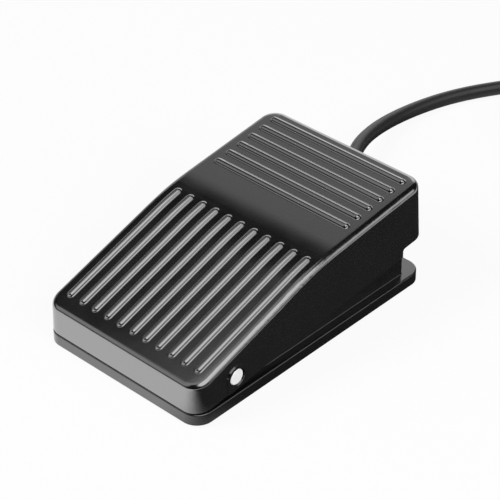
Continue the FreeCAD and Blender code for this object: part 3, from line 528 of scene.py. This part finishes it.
def makePedal():
    s = pedalSettings
    pedal = copyNode("pedal", "pedalShell")
    startEdit(pedal, "FACE")
    choose(pedal, "faces", lambda f: any(
        v.co.z > (roofHeight(v.co.y / mm, s["bendRadius"]) + s["beadShow"]) * mm for v in f.verts))
    bpy.ops.mesh.delete(type="FACE")
    bpy.ops.mesh.select_mode(type="EDGE")
    bpy.ops.mesh.select_all(action="SELECT")
    bpy.ops.mesh.fill_holes(sides=0)
    endEdit()
    easeBend(pedal)
    smooth(pedal)
    beads = makeBeads()
    for bead in beads:
        pick(bead)
        bpy.ops.object.shade_smooth()
    pick(pedal)
    for bead in beads:
        bead.select_set(True)
    bpy.ops.object.join()
    return dress(pedal, "pedal", "pedal_paint", blackEnamel, "pedal")


makePedal()
print("pedal made")

# the tray wears the shaded copy of the enamel, a painted shade
tray = copyNode("base_tray", "trayCasting")
smooth(tray)
dress(tray, "base", "base_paint", shadedTrayEnamel, "base_tray")
print("tray made")


# turned pieces
edgeSettings = {"turnedAngle": 35, "softenedAngle": 50, "flatAngle": 0.5, "segments": 2}


def drawOutline(name, points):
    # one vertex drawn out through the outline's points
    bpy.ops.object.select_all(action="DESELECT")
    bpy.ops.mesh.primitive_plane_add(size=mm, location=(0, 0, 0))
    piece = bpy.context.object
    piece.name = name
    startEdit(piece)
    bpy.ops.mesh.select_all(action="SELECT")
    bpy.ops.mesh.merge(type="CENTER")
    bpy.ops.transform.translate(value=[c * mm for c in points[0]])
    for before, after in zip(points, points[1:]):
        step = [(b - a) * mm for a, b in zip(before, after)]
        bpy.ops.mesh.extrude_region_move(TRANSFORM_OT_translate={"value": step})
    endEdit()
    return piece


def turnPiece(name, outline, steps=48, bevel=0.0):
    # an outline of (radius, height) turned about the upright axis, then its edges broken
    piece = drawOutline(name, [(radius, 0.0, height) for radius, height in outline])
    startEdit(piece)
    bpy.ops.mesh.select_all(action="SELECT")
    bpy.ops.mesh.spin(steps=steps, angle=2 * math.pi, center=(0, 0, 0), axis=(0, 0, 1))
    bpy.ops.mesh.select_all(action="SELECT")
    bpy.ops.mesh.remove_doubles(threshold=mergeGap * mm)
    bpy.ops.mesh.normals_make_consistent(inside=False)
    endEdit()
    if bevel:
        applyModifier(piece, "BEVEL", width=bevel * mm, segments=edgeSettings["segments"], limit_method="ANGLE",
                      angle_limit=math.radians(edgeSettings["turnedAngle"]))
    return piece


def soften(piece, width):
    # broken edges on a merged copy whose flats are made one face each
    startEdit(piece)
    bpy.ops.mesh.select_all(action="SELECT")
    bpy.ops.mesh.dissolve_limited(angle_limit=math.radians(edgeSettings["flatAngle"]))
    endEdit()
    applyModifier(piece, "BEVEL", width=width * mm, segments=edgeSettings["segments"], limit_method="ANGLE",
                  angle_limit=math.radians(edgeSettings["softenedAngle"]), use_clamp_overlap=True)


pinSettings = {"radius": 2.5, "half": 31.016, "edge": 0.2, "crown": 0.08, "place": (0.0, -33.35, 10.6),
               "crownAt": 0.6, "crownThere": 0.36, "shoulder": 1.4}    # shares of radius, crown and edge


def makePin():
    # ground pin with slightly crowned ends
    s = pinSettings
    outline = [(0.0, -s["half"]), (s["radius"] * s["crownAt"], -s["half"] + s["crown"] * s["crownThere"]),
               (s["radius"] - s["edge"], -s["half"] + s["crown"]),
               (s["radius"], -s["half"] + s["edge"] * s["shoulder"])]
    outline += [(radius, -height) for radius, height in reversed(outline)]
    pin = turnPiece("hingePin", outline)
    pin.data.transform(Matrix.Translation(Vector(s["place"]) * mm) @ Matrix.Rotation(math.pi / 2, 4, "Y"))
    smooth(pin)
    return dress(pin, "base", "pin_steel", groundSteel, "hinge_pin")


footSettings = {"radius": 5.0, "height": 1.78, "edge": 0.45, "dish": 0.2, "x": 22.05, "y": (-39.35, 38.65),
                "dishRim": (0.6, 0.66), "steps": 40, "bevel": 0.12,
                "names": ["FrontLeft", "FrontRight", "RearLeft", "RearRight"],
                "nodes": ["front_left", "front_right", "rear_left", "rear_right"]}


def makeFeet():
    # moulded rubber discs with a shallow dish in the sole
    s = footSettings
    inner, outer = (s["radius"] * share for share in s["dishRim"])
    outline = [(0.0, s["dish"]), (inner, s["dish"]), (outer, 0.0), (s["radius"] - s["edge"], 0.0),
               (s["radius"], s["edge"]), (s["radius"], s["height"]), (0.0, s["height"])]
    model = turnPiece("footModel", outline, s["steps"], s["bevel"])
    places = [(-s["x"], s["y"][0]), (s["x"], s["y"][0]), (-s["x"], s["y"][1]), (s["x"], s["y"][1])]
    for (x, y), name, node in zip(places, s["names"], s["nodes"]):
        foot = copyPiece(model, "foot" + name)
        foot.data.transform(Matrix.Translation((x * mm, y * mm, 0)))
        smooth(foot)
        dress(foot, "base", "foot_rubber", footRubber, "rubber_foot_" + node)
    bpy.data.objects.remove(model)


bootSettings = {"axis": (-14.0, 8.0), "bore": 2.45, "inner": 38.49, "seatIn": 40.29, "seatOut": 42.21,
                "neck": 3.6, "shoulder": 4.7, "shoulderEnd": 44.01, "root": 4.1, "tip": 3.0, "tipAt": 59.15,
                "rings": 5, "ringGap": 1.0, "firstRing": 46.01, "ringPitch": 2.228, "grooveOver": 0.04,
                "steps": 40, "bevel": 0.14}


def makeBoot():
    # moulded rubber sleeve, ringed so that it bends with the lead
    s = bootSettings

    def sleeve(y):
        share = (y - s["shoulderEnd"]) / (s["tipAt"] - s["shoulderEnd"])
        return s["root"] + (s["tip"] - s["root"]) * share

    outline = [(s["bore"], s["inner"]), (s["shoulder"], s["inner"]), (s["shoulder"], s["seatIn"]),
               (s["neck"], s["seatIn"]), (s["neck"], s["seatOut"]), (s["shoulder"], s["seatOut"]),
               (s["shoulder"], s["shoulderEnd"]), (sleeve(s["shoulderEnd"]), s["shoulderEnd"])]
    for i in range(s["rings"]):
        y = s["firstRing"] + i * s["ringPitch"]
        end = y + s["ringGap"]
        deep = s["tip"] + s["grooveOver"]
        outline += [(sleeve(y), y), (deep, y), (deep, end), (sleeve(end), end)]
    outline += [(s["tip"], s["tipAt"]), (s["bore"], s["tipAt"]), (s["bore"], s["inner"])]
    boot = turnPiece("leadBoot", outline, s["steps"], s["bevel"])
    place = Matrix.Translation((s["axis"][0] * mm, 0, s["axis"][1] * mm))
    boot.data.transform(place @ Matrix.Rotation(-math.pi / 2, 4, "X"))
    smooth(boot)
    return dress(boot, "base", "boot_rubber", bootRubber, "cable_boot")


springSettings = {"radius": 5.0, "wire": 0.6, "turns": 6.5, "low": 3.62, "high": 27.98, "place": (0.0, 20.65),
                  "sides": 12, "stepsPerTurn": 28, "closedTurns": 1.0}


def makeSpring():
    # drawn wire wound with closed end turns
    s = springSettings
    bpy.ops.object.select_all(action="DESELECT")
    bpy.ops.mesh.primitive_circle_add(vertices=s["sides"], radius=s["wire"] * mm, fill_type="NGON",
                                      location=(s["radius"] * mm, 0, s["low"] * mm),
                                      rotation=(math.pi / 2, 0, 0))
    spring = bpy.context.object
    spring.name = "returnSpring"
    bpy.ops.object.transform_apply(location=True, rotation=True, scale=True)
    startEdit(spring, "FACE")
    bpy.ops.mesh.select_all(action="SELECT")
    bpy.ops.mesh.delete(type="ONLY_FACE")
    endEdit()
    steps = int(s["turns"] * s["stepsPerTurn"])
    height = s["high"] - s["low"]
    applyModifier(spring, "SCREW", angle=2 * math.pi * s["turns"], screw_offset=height * mm, steps=steps,
                  render_steps=steps, axis="Z", use_merge_vertices=False)
    closed = s["closedTurns"]
    active = height - 4 * s["wire"] * closed
    for index, vertex in enumerate(spring.data.vertices):
        turn = index // s["sides"] / s["stepsPerTurn"]
        even = height * turn / s["turns"]
        share = min(max((turn - closed) / (s["turns"] - 2 * closed), 0.0), 1.0)
        ends = 2 * s["wire"] * (min(turn, closed) + max(turn - s["turns"] + closed, 0.0))
        vertex.co.z += (ends + active * share - even) * mm
    startEdit(spring, "EDGE")
    bpy.ops.mesh.select_all(action="SELECT")
    bpy.ops.mesh.fill_holes(sides=0)
    bpy.ops.mesh.select_all(action="SELECT")
    bpy.ops.mesh.normals_make_consistent(inside=False)
    endEdit()
    spring.data.transform(Matrix.Translation((s["place"][0] * mm, s["place"][1] * mm, 0)))
    smooth(spring, 50)
    return dress(spring, None, "spring_steel", springWire, "return_spring")    # on no body


screwSettings = {
    "head": 2.0,
    "headHeight": 1.3,
    "headRound": [(0.55, 1.0), (0.88, 0.8), (1.0, 0.35)],    # shares of its radius and height
    "shank": 1.1,
    "point": 0.4,
    "slot": 0.5,
    "slotReach": 1.3,
    "slotDepth": 0.6,
    "steps": 32,
    "sets": [
        # name, node, length, turn about Y in degrees, places under the heads
        ("switchScrews", "switch_screws", 9.0, -90.0, [(-3.22, -4.2, 12.2), (-3.22, 5.3, 12.2)]),
        ("clampScrews", "clamp_screws", 5.9, 0.0, [(-19.5, 32.15, 10.24), (-8.5, 32.15, 10.24)]),
    ],
}


def makeScrew(name, length):
    # pan head with a cross recess, its shank below the origin
    s = screwSettings
    outline = [(0.0, s["headHeight"])]
    outline += [(s["head"] * across, s["headHeight"] * up) for across, up in s["headRound"]]
    outline += [(s["head"], 0.0), (s["shank"], 0.0), (s["shank"], -length + s["point"]),
                (s["shank"] - s["point"], -length), (0.0, -length)]
    screw = turnPiece(name, outline, s["steps"])
    for sizes in ((s["slot"], 2 * s["slotReach"]), (2 * s["slotReach"], s["slot"])):
        bpy.ops.object.select_all(action="DESELECT")
        bpy.ops.mesh.primitive_cube_add(size=1.0, location=(0, 0, s["headHeight"] * mm))
        cutter = bpy.context.object
        cutter.data.transform(Matrix.Diagonal((sizes[0] * mm, sizes[1] * mm, 2 * s["slotDepth"] * mm, 1.0)))
        applyModifier(screw, "BOOLEAN", operation="DIFFERENCE", solver="EXACT", object=cutter)
        bpy.data.objects.remove(cutter)
    return screw


def placeScrews(name, node, length, turn, places):
    model = makeScrew(name + "Model", length)
    pair = []
    for place in places:
        screw = copyPiece(model, name)
        shift = Matrix.Translation([c * mm for c in place])
        screw.data.transform(shift @ Matrix.Rotation(math.radians(turn), 4, "Y"))
        pair.append(screw)
    bpy.data.objects.remove(model)
    pick(pair[0])
    for screw in pair[1:]:
        screw.select_set(True)
    bpy.ops.object.join()
    smooth(pair[0])
    return dress(pair[0], "base", "screw_zinc", zincScrew, node)


strandSettings = {"wires": 7, "wire": 0.17, "sides": 8, "ring": 0.36, "length": 6.0, "twist": 300.0,
                  "steps": 20}


def twistStrands():
    # stripped end: thin wires twisted together, upwards from the origin
    s = strandSettings
    bpy.ops.object.select_all(action="DESELECT")
    wires = []
    for i in range(s["wires"]):
        turn = 2 * math.pi * i / (s["wires"] - 1)
        ring = s["ring"] * mm if i else 0.0
        bpy.ops.mesh.primitive_circle_add(vertices=s["sides"], radius=s["wire"] * mm,
                                          location=(ring * math.cos(turn), ring * math.sin(turn), 0))
        bpy.ops.object.transform_apply(location=True, rotation=True, scale=True)
        wires.append(bpy.context.object)
    pick(wires[0])
    for wire in wires:
        wire.select_set(True)
    bpy.ops.object.join()
    strands = wires[0]
    strands.name = "strandModel"
    applyModifier(strands, "SCREW", angle=math.radians(s["twist"]), screw_offset=s["length"] * mm,
                  steps=s["steps"], render_steps=s["steps"], axis="Z", use_merge_vertices=False)
    startEdit(strands, "EDGE")
    bpy.ops.mesh.select_all(action="SELECT")
    bpy.ops.mesh.fill_holes(sides=0)
    bpy.ops.mesh.select_all(action="SELECT")
    bpy.ops.mesh.normals_make_consistent(inside=False)
    endEdit()
    return strands


def layStrands(model, name, node):
    # a copy of the twisted wires, laid where the node's own rod lies
    strands = copyPiece(model, name)
    corners = [v.co.copy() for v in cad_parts[node].data.vertices]
    middle = sum(corners, Vector()) / len(corners)
    far = max(corners, key=lambda c: (c - middle).length)
    tip = [c for c in corners if (c - middle).dot(far - middle) > 0]
    root = [c for c in corners if (c - middle).dot(far - middle) <= 0]
    start = sum(root, Vector()) / len(root)
    way = (sum(tip, Vector()) / len(tip) - start).normalized()
    first = middle - way * (strandSettings["length"] / 2 * mm)
    strands.data.transform(Matrix.Translation(first) @ way.to_track_quat("Z", "Y").to_matrix().to_4x4())
    smooth(strands, 50)
    return dress(strands, "base", "strand_copper", bareCopper, node)


tieSettings = {"turn": 250.0, "middle": 26.5, "inner": 1.45, "outer": -2.4, "under": 9.3, "rise": 0.12,
               "underGap": 0.01, "edge": 0.15}


def makeTie():
    # nylon tie drawn close round the wound lead, inside the room its CAD shape leaves
    s = tieSettings
    tie = copyNode("coil_tie", "coilTie")
    centre = Vector((*leadSettings["coilCentre"], 0)) * mm
    outward = Vector((math.cos(math.radians(s["turn"])), math.sin(math.radians(s["turn"])), 0))
    for vertex in tie.data.vertices:
        radius = (vertex.co - centre).dot(outward) / mm
        vertex.co += outward * (s["inner"] if radius < s["middle"] else s["outer"]) * mm
        if abs(vertex.co.z / mm - s["under"]) < s["underGap"]:
            vertex.co.z += s["rise"] * mm
    soften(tie, s["edge"])
    smooth(tie)
    return dress(tie, "base", "tie_nylon", whiteNylon, "coil_tie")


made = {"hingePin": makePin(), "leadBoot": makeBoot(), "returnSpring": makeSpring(), "coilTie": makeTie()}
makeFeet()
for name, node, length, turn, places in screwSettings["sets"]:
    made[name] = placeScrews(name, node, length, turn, places)
strandModel = twistStrands()
for ending, node in (("Common", "com"), ("Open", "no"), ("Closed", "nc")):
    made["farStrand" + ending] = layStrands(strandModel, "farStrand" + ending, "far_strand_" + node)
bpy.data.objects.remove(strandModel)
print("turned pieces made", len(made))


# pieces that keep their CAD shape
plainPieces = [
    # node, name, body, slot, material, width of the broken edges in mm
    ("switch_case", "switchCase", "base", "case_phenolic", blackPhenolic, 0.1),
    ("switch_cover", "switchCover", "base", "cover_phenolic", blackPhenolic, 0.1),
    ("switch_plunger", "switchPlunger", "plunger", "plunger_nylon", redNylon, 0.0),
    ("switch_lever", "switchLever", "lever", "lever_steel", stampedSteel, 0.05),
    ("lever_pin", "leverPin", "base", "pin_steel", groundSteel, 0.05),
    ("snap_blade", "snapBlade", "blade", "blade_bronze", springBronze, 0.03),
    ("moving_contact", "movingContact", "blade", "contact_silver", silverRivet, 0.08),
    ("contact_no", "contactOpen", "base", "contact_silver", silverRivet, 0.08),
    ("contact_nc", "contactClosed", "base", "contact_silver", silverRivet, 0.08),
    ("terminal_com", "terminalCommon", "base", "terminal_brass", rolledBrass, 0.05),
    ("terminal_no", "terminalOpen", "base", "terminal_brass", rolledBrass, 0.05),
    ("terminal_nc", "terminalClosed", "base", "terminal_brass", rolledBrass, 0.05),
    ("cable_clamp", "leadClamp", "base", "clamp_zinc", zincScrew, 0.15),
    ("cable_inner", "leadInside", "base", "cable_sheath", cableSheath, 0.0),
    ("core_com", "coreCommon", "base", "core_black", coreBlack, 0.0),
    ("core_no", "coreOpen", "base", "core_red", coreRed, 0.0),
    ("core_nc", "coreClosed", "base", "core_white", coreWhite, 0.0),
    ("far_core_com", "farCoreCommon", "base", "core_black", coreBlack, 0.0),
    ("far_core_no", "farCoreOpen", "base", "core_red", coreRed, 0.0),
    ("far_core_nc", "farCoreClosed", "base", "core_white", coreWhite, 0.0),
]
for node, name, body, slotName, material, edge in plainPieces:
    piece = copyNode(node, name)
    if edge:
        soften(piece, edge)
    smooth(piece)
    made[name] = dress(piece, body, slotName, material, node)
print("plain pieces dressed", len(made))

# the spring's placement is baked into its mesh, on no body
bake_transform(made["returnSpring"])


# studio
studioSettings = {
    "floorSize": 6.0,
    "floorColour": "#d4d4d4",
    "cameraShare": 0.92,               # how much of plain white the camera sees in the floor
    # painted shadow and painted lit floor, seen only in the gloss: the floor glows dark to the right and back
    # of the piece, white elsewhere
    "paintedShadowAxis": (-0.9, -0.44, 0.0),
    "paintedShadowEdge": (-0.018, 0.012),    # the painted shadow in the gloss turns from dark to white here
    "paintedShadowGlow": 0.03,
    "paintedLitGlow": 1.12,
    "paintedShadowEnd": (0.11, 0.17, 0.8),    # and white again from here to here, this bright, beyond the piece: a painted lit floor past the painted shadow
    "roomLight": 0.2,                  # plain light from all round
    "mirrorRoom": 0.008,               # what the gloss sees where no soft box stands
    "softBoxes": [
        # direction, cosine where it starts, cosine where it is full, strength
        ((-0.60, 0.75, 0.28), 0.824, 0.858, 0.26),
        ((-0.92, 0.30, 0.25), 0.90, 0.97, 0.25),
        ((-0.50, 0.80, 0.33), 0.90, 0.97, 1.1),
        ((0.55, -0.15, 0.82), 0.84, 0.92, 1.7),
        ((0.78, 0.47, 0.41), 0.94, 0.975, 0.95),
        ((-0.559, -0.60, 0.57), 0.88, 0.97, 0.5),
        ((-0.20, -0.10, 0.97), 0.905, 0.935, 0.5),
    ],
    "lamps": [
        # name, direction, distance, width, height, power
        ("key", (-0.42, -0.60, 0.68), 1.1, 0.5, 0.5, 10.0),
        ("fill", (0.80, -0.10, 0.55), 1.2, 0.8, 0.8, 14.0),
    ],
}


def softBox(tree, direction, start, full, strength, way):
    # a soft round patch of light on the far wall of the room
    aim = Vector(way).normalized()
    near = addNode(tree, "VectorMath", {1: aim}, {0: direction}, operation="DOT_PRODUCT")
    patch = addNode(tree, "MapRange", {"From Min": start, "From Max": full, "To Min": 0.0, "To Max": strength},
                    {"Value": near.outputs["Value"]}, interpolation_type="SMOOTHSTEP")
    return patch.outputs["Result"]


def makeFloor():
    s = studioSettings
    bpy.ops.object.select_all(action="DESELECT")
    bpy.ops.mesh.primitive_plane_add(size=s["floorSize"], location=(0, 0, 0))
    floor = bpy.context.object
    floor.name = "studioFloor"
    material, tree, shader, place = newMaterial("paperFloor")
    shader.inputs["Base Color"].default_value = linear(s["floorColour"])
    shader.inputs["Roughness"].default_value = 1.0
    shader.inputs["Specular IOR Level"].default_value = 0.0
    path = addNode(tree, "LightPath")
    gloss = addNode(tree, "Math", None,
                    {0: path.outputs["Is Glossy Ray"], 1: path.outputs["Is Transmission Ray"]},
                    operation="MAXIMUM")
    seen = addNode(tree, "Math", {1: s["cameraShare"]},
                   {0: path.outputs["Is Camera Ray"], 2: gloss.outputs[0]}, operation="MULTIPLY_ADD")
    # in the gloss the floor glows by place: a painted shadow beside the piece, a painted lit floor beyond it
    side = addNode(tree, "VectorMath", {1: s["paintedShadowAxis"]}, {0: place}, operation="DOT_PRODUCT")
    paintedShadowFade = addNode(tree, "MapRange", {"From Min": s["paintedShadowEdge"][0], "From Max": s["paintedShadowEdge"][1],
                                      "To Min": s["paintedShadowGlow"], "To Max": s["paintedLitGlow"]},
                   {"Value": side.outputs["Value"]}, interpolation_type="SMOOTHSTEP")
    away = addNode(tree, "VectorMath", None, {0: place}, operation="LENGTH")
    far = addNode(tree, "MapRange", {"From Min": s["paintedShadowEnd"][0], "From Max": s["paintedShadowEnd"][1],
                                     "To Min": 0.0, "To Max": s["paintedShadowEnd"][2]},
                  {"Value": away.outputs["Value"]}, interpolation_type="SMOOTHSTEP")
    white = addNode(tree, "Math", None, {0: paintedShadowFade.outputs["Result"], 1: far.outputs["Result"]},
                    operation="MAXIMUM")
    power = addNode(tree, "Mix", {2: 1.0}, {0: gloss.outputs[0], 3: white.outputs[0]})
    glow = addNode(tree, "Emission", {"Color": (1, 1, 1, 1)}, {"Strength": power.outputs[0]})
    mixed = addNode(tree, "MixShader", None, {0: seen.outputs[0], 1: shader.outputs[0], 2: glow.outputs[0]})
    tree.links.new(mixed.outputs[0], tree.nodes["Material Output"].inputs["Surface"])
    floor.data.materials.append(material)


def makeRoom():
    # white to the camera, soft boxes to the gloss, and an even dim light to everything else
    s = studioSettings
    world = bpy.data.worlds.new("studioWorld")
    bpy.context.scene.world = world
    world.use_nodes = True
    tree = world.node_tree
    direction = addNode(tree, "TexCoord").outputs["Generated"]
    total = None
    for way, start, full, strength in s["softBoxes"]:
        patch = softBox(tree, direction, start, full, strength, way)
        settings = {1: s["mirrorRoom"]} if total is None else {}
        links = {0: patch} if total is None else {0: patch, 1: total}
        total = addNode(tree, "Math", settings, links, operation="ADD").outputs[0]
    path = addNode(tree, "LightPath")
    gloss = addNode(tree, "Math", None,
                    {0: path.outputs["Is Glossy Ray"], 1: path.outputs["Is Transmission Ray"]},
                    operation="MAXIMUM")
    lit = addNode(tree, "Mix", {2: s["roomLight"]}, {0: gloss.outputs[0], 3: total})
    strength = addNode(tree, "Mix", {3: 1.0}, {0: path.outputs["Is Camera Ray"], 2: lit.outputs[0]})
    sky = tree.nodes["Background"]
    sky.inputs["Color"].default_value = (1, 1, 1, 1)
    tree.links.new(strength.outputs[0], sky.inputs["Strength"])


def makeStudio():
    makeFloor()
    makeRoom()
    for name, direction, distance, width, height, power in studioSettings["lamps"]:
        data = bpy.data.lights.new(name, "AREA")
        data.shape = "RECTANGLE"
        data.size = width
        data.size_y = height
        data.energy = power
        lamp = bpy.data.objects.new(name, data)
        bpy.context.scene.collection.objects.link(lamp)
        way = Vector(direction).normalized()
        lamp.location = way * distance
        lamp.rotation_euler = way.to_track_quat("Z", "Y").to_euler()
        lamp.visible_glossy = False     # the soft boxes stand for the lamps in the gloss


makeStudio()
print("studio lit")

bpy.context.scene.view_settings.view_transform = "Standard"
